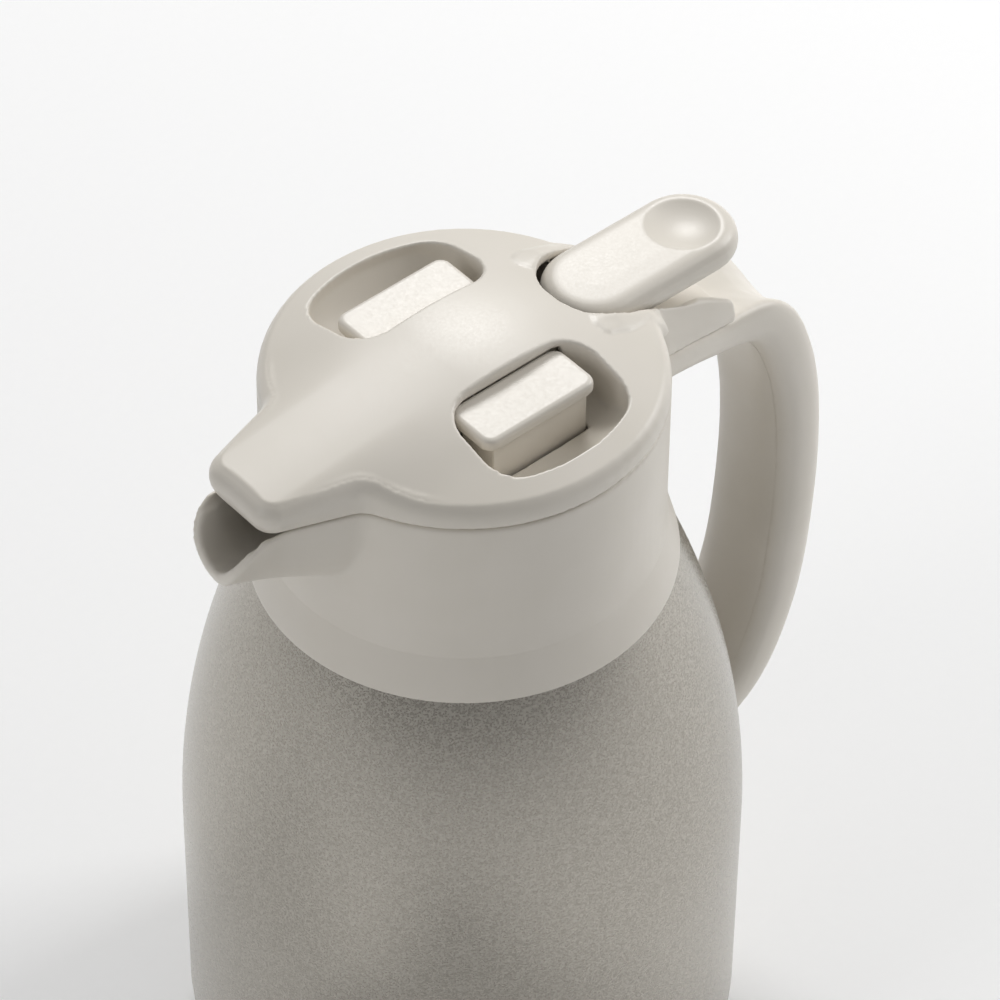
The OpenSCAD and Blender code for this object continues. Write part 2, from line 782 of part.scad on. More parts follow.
// Way through a pocket's floor and inner wall that the button travels in
module button_slot() {
    stem = button_inset + 1.2 - button_gap;
    near = cap_in - button_travel - button_gap;
    translate([-button_back + stem, near, seam_z - 12])
        cube([button_l - 2 * stem, button_out - button_inset + 0.9 - near, 12]);
    translate([-button_back - button_gap, near, seam_z - pocket_drop + 0.2])
        cube([button_l + 2 * button_gap, pocket_in - near + 2.6,
            button_top + button_gap + pocket_drop - 0.2]);
}

// Opening for the lever: a wide way that it swings in and a narrow channel below
module lever_hole() {
    half = lever_half_w + lever_gap;
    front = lever_front - lever_gap;
    sweep = tan(lever_turn);
    low = lever_foot - 0.5;
    far = lever_x + 10;
    intersection() {
        translate([0, 0, seam_z - 40])
            linear_extrude(90) {
                translate([front + half, 0])
                    circle(half);
                translate([front + half, -half])
                    square([far, 2 * half]);
            }
        translate([0, 40, seam_z])
            rotate([90, 0, 0])
                linear_extrude(80)
                    polygon([[0, low], [pivot_x, low], [far, low - (far - pivot_x) * sweep],
                        [far, 40], [0, 40]]);
    }
    floor_root = lid_r + 1.4;
    translate([0, tail_bore_y, seam_z])
        rotate([90, 0, 0])
            linear_extrude(2 * tail_bore_y)
                polygon([[floor_root, tail_foot(floor_root) + tail_floor_t],
                    [far, tail_foot(far) + tail_floor_t], [far, 20], [floor_root, 20]]);
    // Way for the lever's boss and arm
    translate([front, -ear_y - ear_t - 0.6, seam_z - spigot_h - 1])
        cube([spigot_r - 2.4 - front, 2 * (ear_y + ear_t + 0.6), spigot_h + 8]);
}

module cover_posts() {
    for (a = post_angles)
        rotate([0, 0, a])
            translate([post_r, 0, seam_z + deck_top + 3.5])
                cylinder(r = 2.6, h = rim_h - deck_top - 4.5, $fn = 32);
}

module lid_cover() {
    color(ivory)
        difference() {
            union() {
                difference() {
                    union() {
                        lid_form(0, seam_gap, 1, [0.92, 0.82, 0.7, 0.56, 0.42, 0.28, 0.14, 0.03]);
                        tail();
                    }
                    lid_form(lid_t, seam_gap - 1, 2, [0.86, 0.64, 0.4, 0.2, 0.04]);
                }
                // Pocket bowls hang under the dome
                for (side = [0, 1])
                    mirror([0, side, 0])
                        intersection() {
                            bowl(lid_t);
                            lid_form(0.4, -pocket_drop - lid_t - 1, 2, [0.82, 0.56, 0.28, 0.04]);
                        }
                // Spigot that centres the lid in the collar
                translate([0, 0, seam_z - spigot_h])
                    difference() {
                        cylinder(r = spigot_r, h = spigot_h + 1.4, $fn = 180);
                        translate([0, 0, -1])
                            cylinder(r = spigot_r - 1.6, h = 8, $fn = 180);
                    }
                // Spring boss over the stem
                translate([0, 0, seam_z + boss_z])
                    cylinder(r = 6, h = dome_h - boss_z - lid_t / 2);
                cover_posts();
            }
            for (side = [0, 1])
                mirror([0, side, 0]) {
                    bowl(0);
                    button_slot();
                }
            lever_hole();
            translate([0, 0, seam_z + boss_z - 1])
                cylinder(r = stem_r + 0.4, h = 3);
            for (a = post_angles)
                rotate([0, 0, a])
                    translate([post_r, 0, seam_z + deck_top])
                        cylinder(r = 1.1, h = 10, $fn = 32);
        }
}

module lid_deck() {
    color(ivory)
        translate([0, 0, seam_z])
            difference() {
                union() {
                    translate([0, 0, deck_top - deck_t])
                        cylinder(r = deck_r, h = deck_t);
                    // Ears that carry the lever's pin
                    for (side = [-1, 1])
                        translate([pivot_x, side * (ear_y + ear_t / 2), 0])
                            rotate([90, 0, 0])
                                translate([0, 0, -ear_t / 2]) {
                                    translate([0, pivot_z])
                                        cylinder(r = 3, h = ear_t);
                                    translate([-3, deck_top - 0.5])
                                        cube([6, pivot_z - deck_top + 0.5, ear_t]);
                                }
                    // Posts behind the button springs
                    for (side = [-1, 1])
                        translate([-4, side * spring_in - 1, deck_top - 0.5])
                            cube([8, 2, 6.5]);
                    // Columns up to the cover
                    for (a = post_angles)
                        rotate([0, 0, a])
                            translate([post_r, 0, deck_top - 0.5])
                                cylinder(r = 2.6, h = 4, $fn = 32);
                }
                translate([0, 0, -30])
                    cylinder(r = stem_r + 1.6, h = 40);
                for (side = [-1, 1])
                    translate([pivot_x, side * (ear_y + ear_t / 2), pivot_z])
                        rotate([90, 0, 0])
                            translate([0, 0, -ear_t])
                                cylinder(r = pin_d / 2, h = 2 * ear_t);
                for (a = post_angles)
                    rotate([0, 0, a])
                        translate([post_r, 0, -30])
                            cylinder(r = 1.1, h = 40, $fn = 32);
            }
}

module deck_screws() {
    color(steel)
        for (a = post_angles)
            rotate([0, 0, a])
                translate([post_r, 0, seam_z + deck_top - deck_t - 1.4]) {
                    cylinder(r = 1.8, h = 1.4, $fn = 32);
                    cylinder(r = 1.05, h = 6, $fn = 32);
                }
}

module stopper_shell() {
    top = deck_top - deck_t;
    color(ivory)
        translate([0, 0, seam_z])
            difference() {
                union() {
                    difference() {
                        translate([0, 0, stopper_bottom])
                            cylinder(r = stopper_r, h = top - stopper_bottom);
                        translate([0, 0, stopper_bottom + stopper_t])
                            cylinder(r = stopper_r - stopper_t, h = 60);
                    }
                    difference() {
                        translate([0, 0, stopper_bottom])
                            cylinder(r = foam_r, h = foam_top - stopper_bottom);
                        translate([0, 0, stopper_bottom + stopper_t])
                            cylinder(r = foam_r - 1.6, h = 60);
                    }
                }
                translate([0, 0, stopper_bottom - 1])
                    cylinder(r = port_r, h = 10);
                // Groove for the sealing ring
                translate([0, 0, -neck_drop - 20])
                    difference() {
                        cylinder(r = stopper_r + 2, h = 4);
                        translate([0, 0, -1])
                            cylinder(r = stopper_r - 1.2, h = 6);
                    }
                // Outlet towards the spout
                translate([-stopper_r - 4, -window_w / 2, window_bottom])
                    cube([8, window_w, top - window_bottom - 1]);
            }
}

module stopper_foam() {
    color("#f2f0ea")
        translate([0, 0, seam_z + stopper_bottom + stopper_t])
            difference() {
                cylinder(r = stopper_r - stopper_t - 0.2, h = foam_top - stopper_bottom - stopper_t);
                translate([0, 0, -1])
                    cylinder(r = foam_r + 0.2, h = 60);
            }
}

module stopper_insert() {
    color(ivory)
        translate([0, 0, seam_z + foam_top])
            difference() {
                cylinder(r = stopper_r - stopper_t - 0.1, h = 1.6);
                translate([0, 0, -1])
                    cylinder(r = foam_r - 1.6, h = 4);
            }
}

module stopper_gasket() {
    color(silicone)
        translate([0, 0, seam_z - neck_drop - 20])
            rotate_extrude($fn = 180)
                polygon([[stopper_r - 1.2, 0.2], [stopper_r + 0.6, 0.4], [bore_r - 0.3, 1.6],
                    [bore_r - 0.3, 2.2], [stopper_r + 0.6, 3.4], [stopper_r - 1.2, 3.8]]);
}

module stem_seal() {
    color(silicone)
        translate([0, 0, seam_z + deck_top])
            difference() {
                cylinder(r = 5, h = 1.4);
                translate([0, 0, -1])
                    cylinder(r = stem_r + 0.1, h = 4);
            }
}

module lever_pin() {
    color(steel)
        translate([pivot_x, 0, seam_z + pivot_z])
            rotate([90, 0, 0])
                translate([0, 0, -ear_y - ear_t])
                    cylinder(r = pin_d / 2, h = 2 * (ear_y + ear_t));
}

// Paddle of the lever: rings from its underside up, in plan a stadium
function stadium(x0, x1, r, n) =
    concat([for (k = [0:n]) let (a = -90 + 180 * k / n) [x1 - r + r * cos(a), r * sin(a)]],
        [for (k = [0:n]) let (a = 90 + 180 * k / n) [x0 + r + r * cos(a), r * sin(a)]]);

function paddle_ring(inset, z, n) =
    [for (p = stadium(lever_front + inset, lever_x - inset, lever_half_w - inset, n))
        [p[0], p[1], z - 0.0005 * pow(max(0, p[0] - 44), 2)]];

module lever() {
    edge = 4;
    n = 16;
    dish_x = lever_x - 12.7;
    dish_r = 20;
    dish_deep = 2.2;
    color(ivory)
        translate([0, 0, seam_z])
            difference() {
                union() {
                    loft([
                        paddle_ring(1.6, lever_foot, n),
                        paddle_ring(0.4, lever_foot + 1, n),
                        paddle_ring(0, lever_foot + 2.4, n),
                        paddle_ring(0, lever_top - edge, n),
                        paddle_ring(edge * 0.08, lever_top - edge * 0.6, n),
                        paddle_ring(edge * 0.3, lever_top - edge * 0.28, n),
                        paddle_ring(edge * 0.62, lever_top - edge * 0.07, n),
                        paddle_ring(edge, lever_top, n),
                        paddle_ring(edge + 5, lever_top + 0.2, n)
                    ]);
                    // Boss round the pin
                    translate([pivot_x, 0, pivot_z])
                        rotate([90, 0, 0])
                            translate([0, 0, -ear_y + 0.5])
                                cylinder(r = 3.4, h = 2 * ear_y - 1);
                    translate([pivot_x - 3.4, -ear_y + 0.5, pivot_z])
                        cube([6.8, 2 * ear_y - 1, lever_foot - pivot_z + 1]);
                    // Arm that ends in a fork under the stem's flange
                    translate([-fork_tip, -fork_half_w, fork_top - fork_t])
                        cube([pivot_x + fork_tip, 2 * fork_half_w, fork_t]);
                }
                // Throat of the fork, open at its tip
                translate([0, 0, fork_top - fork_t - 1])
                    cylinder(r = stem_r + 0.6, h = fork_t + 2);
                translate([-8, -stem_r - 0.6, fork_top - fork_t - 1])
                    cube([8, 2 * stem_r + 1.2, fork_t + 2]);
                translate([pivot_x, 0, pivot_z])
                    rotate([90, 0, 0])
                        translate([0, 0, -20])
                            cylinder(r = pin_d / 2 + 0.05, h = 40);
                // Thumb dish
                translate([dish_x, 0, lever_top - 0.2 + dish_r - dish_deep])
                    sphere(r = dish_r);
            }
}

module valve_stem() {
    color(ivory)
        translate([0, 0, seam_z]) {
            translate([0, 0, plug_z + 2])
                cylinder(r = stem_r, h = 6.5 - plug_z - 2);
            translate([0, 0, flange_z])
                cylinder(r = 4.6, h = flange_t);
        }
}

module valve_plug() {
    color(ivory)
        translate([0, 0, seam_z + plug_z])
            difference() {
                union() {
                    cylinder(r = plug_r, h = 2);
                    cylinder(r1 = 7, r2 = 4, h = 6);
                }
                translate([0, 0, 2])
                    cylinder(r = stem_r, h = 10);
            }
}

module valve_gasket() {
    color(silicone)
        translate([0, 0, seam_z + plug_z - 2])
            cylinder(r1 = port_r + 0.8, r2 = plug_r - 0.4, h = 2);
}

module stem_clip() {
    color(steel)
        translate([0, 0, seam_z + flange_z + flange_t])
            difference() {
                cylinder(r = 3.2, h = 0.6);
                translate([0, 0, -1])
                    cylinder(r = stem_r, h = 3);
            }
}

// Round wire wound into a compression spring along +Z from the origin
module coil(coil_r, wire_r, height, turns, sides) {
    steps = turns * 12;
    loft([for (i = [0:steps])
        let (a = 360 * turns * i / steps, z = wire_r + (height - 2 * wire_r) * i / steps)
            [for (k = [0:sides - 1])
                let (b = 360 * k / sides, r = coil_r + wire_r * cos(b))
                    [r * cos(a), r * sin(a), z + wire_r * sin(b)]]]);
}

module valve_spring() {
    low = flange_z + flange_t + 0.6;
    color(steel)
        translate([0, 0, seam_z + low])
            coil(4, 0.4, boss_z - low, 4, 6);
}

module button() {
    cap_r = 3;
    cap_edge = 1.2;
    color(ivory) {
        difference() {
            union() {
                // Cap with rounded corners and a rounded top edge
                hull()
                    for (x = [cap_r - button_back, button_l - button_back - cap_r])
                        for (y = [cap_in + cap_r, button_out - cap_r])
                            translate([x, y, seam_z + button_top - button_cap_t])
                                rotate_extrude($fn = 32)
                                    intersection() {
                                        union() {
                                            square([cap_r, button_cap_t - cap_edge]);
                                            square([cap_r - cap_edge, button_cap_t]);
                                            translate([cap_r - cap_edge, button_cap_t - cap_edge])
                                                circle(cap_edge, $fn = 16);
                                        }
                                        square([cap_r, button_cap_t]);
                                    }
                translate([-button_back + 2.4, button_in + 1, seam_z + tongue_z])
                    cube([button_l - 4.8, button_out - button_inset - button_in - 1,
                        button_top - button_cap_t - tongue_z + 0.5]);
                // Slide and latch tongue
                intersection() {
                    translate([-tongue_w / 2, button_in + 1, seam_z + tongue_z])
                        cube([tongue_w, 40, tongue_t]);
                    cylinder(r = tongue_r, h = seam_z + 10);
                }
            }
            // Seat of the spring
            translate([0, button_in - 1, seam_z + tongue_z + 3.6])
                rotate([-90, 0, 0])
                    cylinder(r = spring_coil_r + 0.8, h = 4);
        }
    }
}

module button_right() {
    button();
}

module button_left() {
    mirror([0, 1, 0])
        button();
}

module button_spring() {
    start = spring_in + 1;
    color(steel)
        translate([0, start, seam_z + tongue_z + 3.6])
            rotate([-90, 0, 0])
                coil(spring_coil_r, 0.35, button_in + 3 - start, 5, 6);
}

module button_spring_right() {
    button_spring();
}

module button_spring_left() {
    mirror([0, 1, 0])
        button_spring();
}

outer_shell();
inner_bottle();
shell_base();
vacuum_seal();
radiation_foil();
base_cover();
foot_pad();
collar();
collar_gasket();
neck_ring();
handle_liner();
handle_bracket();
bracket_screw();
lid_cover();
lid_deck();
deck_screws();
stopper_shell();
stopper_foam();
stopper_insert();
stopper_gasket();
stem_seal();
lever_pin();
lever();
valve_stem();
valve_plug();
valve_gasket();
stem_clip();
valve_spring();
button_left();
button_right();
button_spring_left();
button_spring_right();
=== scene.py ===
import math

import bpy
import numpy as np
from mathutils import Matrix, Vector


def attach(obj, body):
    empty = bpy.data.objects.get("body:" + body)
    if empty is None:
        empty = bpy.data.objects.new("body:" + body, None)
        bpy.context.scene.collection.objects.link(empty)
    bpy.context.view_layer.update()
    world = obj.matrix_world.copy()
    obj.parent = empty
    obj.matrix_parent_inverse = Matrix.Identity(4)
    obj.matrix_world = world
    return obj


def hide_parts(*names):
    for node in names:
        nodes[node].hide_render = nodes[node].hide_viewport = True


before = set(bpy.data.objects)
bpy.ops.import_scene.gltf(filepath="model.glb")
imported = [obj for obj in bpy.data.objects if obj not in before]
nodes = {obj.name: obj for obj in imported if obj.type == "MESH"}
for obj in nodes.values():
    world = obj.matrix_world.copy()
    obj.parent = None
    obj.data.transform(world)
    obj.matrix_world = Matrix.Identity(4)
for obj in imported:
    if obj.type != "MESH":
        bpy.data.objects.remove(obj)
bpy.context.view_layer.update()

# Lengths below are millimetres in the carafe's own frame, and MM turns them to metres
MM = 0.001
SEAM = 220.0
# Points of a CAD copy, and of a turned piece, that are nearer than this become one
COPY_MERGE = 0.002
TURNED_MERGE = 0.001
# Steps round a turned piece or a cutter, and the most triangles that a skin may keep
ROUND_STEPS = 256
MOST_TRIANGLES = 190000
# Faces that meet at more than this many degrees keep a sharp edge
TURNED_CREASE = 32
LINER_CREASE = 40


# Small tools

def deselect():
    for item in bpy.context.selected_objects:
        item.select_set(False)


def pick(item):
    deselect()
    item.select_set(True)
    bpy.context.view_layer.objects.active = item


def apply_modifier(item, kind, **settings):
    pick(item)
    step = item.modifiers.new(kind.lower(), kind)
    for key, value in settings.items():
        setattr(step, key, value)
    bpy.ops.object.modifier_apply(modifier=step.name)


def copy_of(node_name, piece_name):
    """A merged copy of a CAD node that can be refined; the node itself stays as it is."""
    piece = nodes[node_name].copy()
    piece.data = nodes[node_name].data.copy()
    piece.data.materials.clear()
    piece.parent = None
    for key in list(piece.keys()):
        del piece[key]
    piece.name = piece_name
    piece.data.name = piece_name
    bpy.context.scene.collection.objects.link(piece)
    pick(piece)
    bpy.ops.object.mode_set(mode="EDIT")
    bpy.ops.mesh.select_all(action="SELECT")
    bpy.ops.mesh.remove_doubles(threshold=COPY_MERGE * MM)
    bpy.ops.object.mode_set(mode="OBJECT")
    return piece


def add_to(piece, extra):
    """Joins extra into piece as further closed shells."""
    deselect()
    extra.select_set(True)
    piece.select_set(True)
    bpy.context.view_layer.objects.active = piece
    bpy.ops.object.join()
    return piece


def moulded(piece, voxel, passes):
    """Fuses the shells of a piece into one skin whose edges are softly rounded, as a mould
    leaves them."""
    apply_modifier(piece, "REMESH", mode="VOXEL", voxel_size=voxel * MM, adaptivity=0.0)
    apply_modifier(piece, "SMOOTH", factor=0.5, iterations=passes)
    triangles = 2 * len(piece.data.polygons)
    if triangles > MOST_TRIANGLES:
        apply_modifier(piece, "DECIMATE", ratio=MOST_TRIANGLES / triangles)
    pick(piece)
    bpy.ops.object.shade_smooth()
    return piece


def section_sweep(piece_name, rings):
    """Closes rings of points, each with the same count, into one skin with two end caps."""
    count = len(rings[0])
    points = [Vector(p) * MM for ring in rings for p in ring]
    faces = []
    for i in range(len(rings) - 1):
        for j in range(count):
            a = i * count + j
            b = i * count + (j + 1) % count
            faces.append((a, a + count, b + count, b))
    faces.append(tuple(range(count)))
    faces.append(tuple(reversed(range((len(rings) - 1) * count, len(rings) * count))))
    mesh = bpy.data.meshes.new(piece_name)
    mesh.from_pydata(points, [], faces)
    piece = bpy.data.objects.new(piece_name, mesh)
    bpy.context.scene.collection.objects.link(piece)
    pick(piece)
    bpy.ops.object.mode_set(mode="EDIT")
    bpy.ops.mesh.select_all(action="SELECT")
    bpy.ops.mesh.normals_make_consistent(inside=False)
    bpy.ops.object.mode_set(mode="OBJECT")
    return piece


def turned(piece_name, outline):
    """Spins a closed half section, as rows of radius and height, once round the axis."""
    mesh = bpy.data.meshes.new(piece_name)
    count = len(outline)
    mesh.from_pydata([(r * MM, 0, z * MM) for r, z in outline],
                     [(i, (i + 1) % count) for i in range(count)], [])
    piece = bpy.data.objects.new(piece_name, mesh)
    bpy.context.scene.collection.objects.link(piece)
    pick(piece)
    bpy.ops.object.mode_set(mode="EDIT")
    bpy.ops.mesh.select_all(action="SELECT")
    bpy.ops.mesh.spin(steps=ROUND_STEPS, angle=2 * math.pi, center=(0, 0, 0), axis=(0, 0, 1))
    bpy.ops.mesh.select_all(action="SELECT")
    bpy.ops.mesh.remove_doubles(threshold=TURNED_MERGE * MM)
    bpy.ops.mesh.normals_make_consistent(inside=False)
    bpy.ops.object.mode_set(mode="OBJECT")
    bpy.ops.object.shade_smooth_by_angle(angle=math.radians(TURNED_CREASE))
    return piece


def cut_round(piece, radius, low, high):
    """Takes an upright cylinder on the axis away from a piece."""
    deselect()
    bpy.ops.mesh.primitive_cylinder_add(vertices=ROUND_STEPS, radius=radius * MM,
                                        depth=(high - low) * MM,
                                        location=(0, 0, (low + high) / 2 * MM))
    cutter = bpy.context.object
    apply_modifier(piece, "BOOLEAN", operation="DIFFERENCE", object=cutter, solver="EXACT")
    bpy.data.objects.remove(cutter)


def finish_piece(piece, body, slot, material, *replaced):
    """Gives a piece its finish and its body, and lets it stand for the CAD nodes named last."""
    piece.data.materials.clear()
    piece.data.materials.append(material)
    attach(piece, body)
    if replaced:
        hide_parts(*replaced)


# Materials

def colour(code):
    """sRGB hex to the linear values that the shader reads."""
    out = []
    for k in (1, 3, 5):
        v = int(code[k:k + 2], 16) / 255
        out.append(v / 12.92 if v <= 0.04045 else ((v + 0.055) / 1.055) ** 2.4)
    return (*out, 1.0)


def add_node(tree, kind, links=None, values=None, **settings):
    """One shader node with its settings, socket values and incoming links."""
    item = tree.nodes.new(kind)
    for key, value in settings.items():
        setattr(item, key, value)
    for key, value in (values or {}).items():
        item.inputs[key].default_value = value
    for key, source in (links or {}).items():
        tree.links.new(source, item.inputs[key])
    return item


def new_material(name, **values):
    material = bpy.data.materials.new(name)
    material.use_nodes = True
    shader = material.node_tree.nodes["Principled BSDF"]
    for key, value in values.items():
        shader.inputs[key.replace("_", " ")].default_value = value
    where = add_node(material.node_tree, "ShaderNodeTexCoord").outputs["Object"]
    return material, material.node_tree, shader, where


def grain(tree, where, size_mm, detail=2.0, stretch=None):
    """Cloudy noise whose blobs are size_mm across; stretch gives the grain a direction."""
    if stretch:
        where = add_node(tree, "ShaderNodeMapping", {"Vector": where},
                         {"Scale": stretch}).outputs["Vector"]
    return add_node(tree, "ShaderNodeTexNoise", {"Vector": where},
                    {"Scale": 1 / (size_mm * MM), "Detail": detail}).outputs["Fac"]


def spread(tree, source, low, high):
    """Maps the middle of a noise to a span of values."""
    return add_node(tree, "ShaderNodeMapRange", {"Value": source},
                    {"From Min": 0.3, "From Max": 0.7, "To Min": low, "To Max": high}
                    ).outputs["Result"]


def blend_colours(tree, factor, first, second):
    return add_node(tree, "ShaderNodeMix", {0: factor}, {6: colour(first), 7: colour(second)},
                    data_type="RGBA").outputs[2]


def bump(tree, height, strength, distance_mm, after=None):
    links = {"Height": height}
    if after:
        links["Normal"] = after
    return add_node(tree, "ShaderNodeBump", links,
                    {"Strength": strength, "Distance": distance_mm * MM}).outputs["Normal"]


def satin_abs():
    """Injection-moulded ABS with a spark-eroded satin skin: a warm even ivory whose highlights
    are broad, with a fine orange-peel grain about half a millimetre across."""
    material, tree, shader, where = new_material("satin_moulded_abs", IOR=1.53)
    cloud = grain(tree, where, 22)
    fine = grain(tree, where, 0.6, 3.0)
    tree.links.new(blend_colours(tree, spread(tree, cloud, 0, 1), "#e3ddd3", "#dfd9ce"),
                   shader.inputs["Base Color"])
    tree.links.new(spread(tree, fine, 0.36, 0.44), shader.inputs["Roughness"])
    tree.links.new(bump(tree, fine, 0.05, 0.05), shader.inputs["Normal"])
    return material


def flake_paint():
    """Champagne metallic stoving paint on steel: fine flakes that glitter a little under a
    thin clear layer, with soft wide reflections."""
    material, tree, shader, where = new_material(
        "champagne_metallic_paint", Metallic=1.0, Coat_Weight=0.1, Coat_Roughness=0.2)
    flakes = add_node(tree, "ShaderNodeTexVoronoi", {"Vector": where},
                      {"Scale": 1 / (0.4 * MM)}).outputs["Color"]
    bright = add_node(tree, "ShaderNodeSeparateColor", {"Color": flakes}).outputs["Red"]
    tree.links.new(blend_colours(tree, bright, "#a19c93", "#bdb8af"), shader.inputs["Base Color"])
    tree.links.new(spread(tree, bright, 0.24, 0.32), shader.inputs["Roughness"])
    tree.links.new(bump(tree, bright, 0.08, 0.03), shader.inputs["Normal"])
    return material


def brushed_steel(name, stretch, shade="#c3c4c6"):
    """Stainless steel turned or brushed along one way: grey with fine parallel scratches."""
    material, tree, shader, where = new_material(name, Metallic=1.0)
    lines = grain(tree, where, 0.4, 3.0, stretch)
    tree.links.new(blend_colours(tree, lines, "#a9aaac", shade), shader.inputs["Base Color"])
    tree.links.new(spread(tree, lines, 0.22, 0.36), shader.inputs["Roughness"])
    tree.links.new(bump(tree, lines, 0.12, 0.04), shader.inputs["Normal"])
    return material


def silicone_rubber():
    """Moulded silicone: a soft milky grey with a dull skin and faint flow marks."""
    material, tree, shader, where = new_material("moulded_silicone", IOR=1.41)
    cloud = grain(tree, where, 6)
    fine = grain(tree, where, 0.5)
    tree.links.new(blend_colours(tree, cloud, "#d2cfc8", "#dedbd4"), shader.inputs["Base Color"])
    tree.links.new(spread(tree, fine, 0.5, 0.62), shader.inputs["Roughness"])
    tree.links.new(bump(tree, fine, 0.08, 0.06), shader.inputs["Normal"])
    return material


def foot_rubber():
    """Grey thermoplastic rubber of the foot: matte, with a coarse gripping grain."""
    material, tree, shader, where = new_material("foot_rubber", IOR=1.5)
    fine = grain(tree, where, 0.9, 4.0)
    tree.links.new(blend_colours(tree, fine, "#7f7c77", "#95928c"), shader.inputs["Base Color"])
    tree.links.new(spread(tree, fine, 0.65, 0.8), shader.inputs["Roughness"])
    tree.links.new(bump(tree, fine, 0.25, 0.12), shader.inputs["Normal"])
    return material


def copper_foil():
    """Thin copper foil wound on the inner bottle: bright, warm and slightly creased."""
    material, tree, shader, where = new_material("copper_foil", Metallic=1.0)
    creases = grain(tree, where, 5, 4.0)
    tree.links.new(blend_colours(tree, creases, "#b9764a", "#d08c5c"), shader.inputs["Base Color"])
    tree.links.new(spread(tree, creases, 0.2, 0.34), shader.inputs["Roughness"])
    tree.links.new(bump(tree, creases, 0.3, 0.2), shader.inputs["Normal"])
    return material


def bead_foam():
    """Polystyrene bead foam inside the stopper: white beads about three millimetres across."""
    material, tree, shader, where = new_material("bead_foam", IOR=1.5)
    beads = add_node(tree, "ShaderNodeTexVoronoi", {"Vector": where},
                     {"Scale": 1 / (3 * MM)}).outputs["Distance"]
    tree.links.new(blend_colours(tree, beads, "#f5f3ee", "#dddad2"), shader.inputs["Base Color"])
    tree.links.new(spread(tree, beads, 0.7, 0.85), shader.inputs["Roughness"])
    tree.links.new(bump(tree, beads, 0.4, 0.4), shader.inputs["Normal"])
    return material


ivory = satin_abs()
paint = flake_paint()
turned_steel = brushed_steel("turned_stainless", (1.0, 1.0, 30.0))
wire_steel = brushed_steel("drawn_spring_wire", (4.0, 4.0, 4.0), "#d2d3d5")
silicone = silicone_rubber()
foot = foot_rubber()
foil = copper_foil()
foam = bead_foam()

finishes = {
    "outer_shell": paint, "inner_bottle": turned_steel, "shell_base": turned_steel,
    "vacuum_seal": turned_steel, "radiation_foil": foil, "base_cover": ivory, "foot_pad": foot,
    "collar": ivory, "collar_gasket": silicone, "neck_ring": ivory, "handle_liner": ivory,
    "handle_bracket": turned_steel, "bracket_screw": wire_steel, "lid_cover": ivory,
    "lid_deck": ivory, "deck_screws": wire_steel, "stopper_shell": ivory, "stopper_foam": foam,
    "stopper_insert": ivory, "stopper_gasket": silicone, "stem_seal": silicone,
    "lever_pin": wire_steel, "lever": ivory, "valve_stem": ivory, "valve_plug": ivory,
    "valve_gasket": silicone, "stem_clip": wire_steel, "valve_spring": wire_steel,
    "button_left": ivory, "button_right": ivory, "button_spring_left": wire_steel,
    "button_spring_right": wire_steel,
}
for name, material in finishes.items():
    nodes[name].data.materials.clear()
    nodes[name].data.materials.append(material)


# Bottle: painted shell with a rounded heel, an arched shoulder and a plain neck

BODY_R = 68.0
BELLY = 80.0                    # height at which the straight side ends and the arch begins
SHOULDER_R = 220.7
ARC_X = BODY_R - SHOULDER_R
NECK_R = 41.0
SHEET = 1.0                     # thickness of the painted steel
HEEL_R = 14.0
BASE_R = 49.0
BASE_Z = 6.0
RIM_Z = 201.0


def shoulder(z, inset=0.0):
    """Radius of the shell's arched shoulder at a height."""
    return ARC_X + math.sqrt((SHOULDER_R - inset) ** 2 - (z - BELLY) ** 2)


def shell_line(inset, heel, low, neck_r, top):
    """One wall of the shell from the edge of the base up to the neck's rim."""
    wide = BODY_R - inset
    line = [(wide - heel + heel * math.sin(a), low + heel - heel * math.cos(a))
            for a in np.linspace(0, math.pi / 2, 13)]
    reach = BELLY + math.sqrt((SHOULDER_R - inset) ** 2 - (neck_r - ARC_X) ** 2)
    line += [(shoulder(z, inset), z) for z in np.linspace(BELLY, reach, 60)]
    line += [(neck_r, top)]
    return line


outside = shell_line(0.0, HEEL_R, BASE_Z, NECK_R, RIM_Z)
inside = shell_line(SHEET, HEEL_R - SHEET, BASE_Z + SHEET, NECK_R - SHEET, RIM_Z)
shell = turned("painted_shell", [(BASE_R, BASE_Z)] + outside + inside[::-1]
               + [(BASE_R, BASE_Z + SHEET)])
finish_piece(shell, "root", "champagne_paint", paint, "outer_shell")


# Collar with spout and handle

# Handle stations: middle x and z, half width, half thickness, squareness of the outer face
# and depth of the thumb trough in it
HANDLE = [
    (38.8, 207.4, 19.5, 5.6, 7.0, 0.0), (46.8, 206.4, 17.8, 5.6, 7.0, 0.0),
    (57.8, 203.4, 16.0, 5.6, 7.0, 0.0), (66.3, 200.6, 14.6, 5.8, 6.0, 0.0),
    (74.7, 198.9, 13.9, 6.8, 4.4, 4.2), (82.6, 196.2, 13.7, 7.6, 3.8, 5.0),
    (88.6, 189.0, 13.6, 8.3, 3.2, 4.0), (93.6, 176.6, 13.5, 8.6, 2.8, 1.6),
    (96.4, 164.6, 13.5, 9.0, 2.5, 0.3), (97.9, 151.8, 13.5, 9.0, 2.4, 0.0),
    (98.2, 132.9, 13.5, 9.0, 2.4, 0.0), (96.4, 108.5, 13.5, 9.0, 2.4, 0.0),
    (93.0, 92.0, 13.5, 9.0, 2.4, 0.0), (87.0, 77.1, 13.3, 8.8, 2.5, 0.0),
    (79.2, 68.0, 12.9, 8.5, 2.6, 0.0), (65.0, 61.0, 12.5, 8.2, 2.8, 0.0),
]
GRIP_WALL = 2.4
INNER_SQUARE = 2.6              # squareness of the face towards the bottle
SPANS = 6                       # rings between two stations
# Degrees round the section that the outer shell and the inner shell take up
OUTER_ARC = (-52.0, 232.0)
LINER_ARC = (228.5, 311.5)
LINER_START = 5                 # station at which the inner shell begins
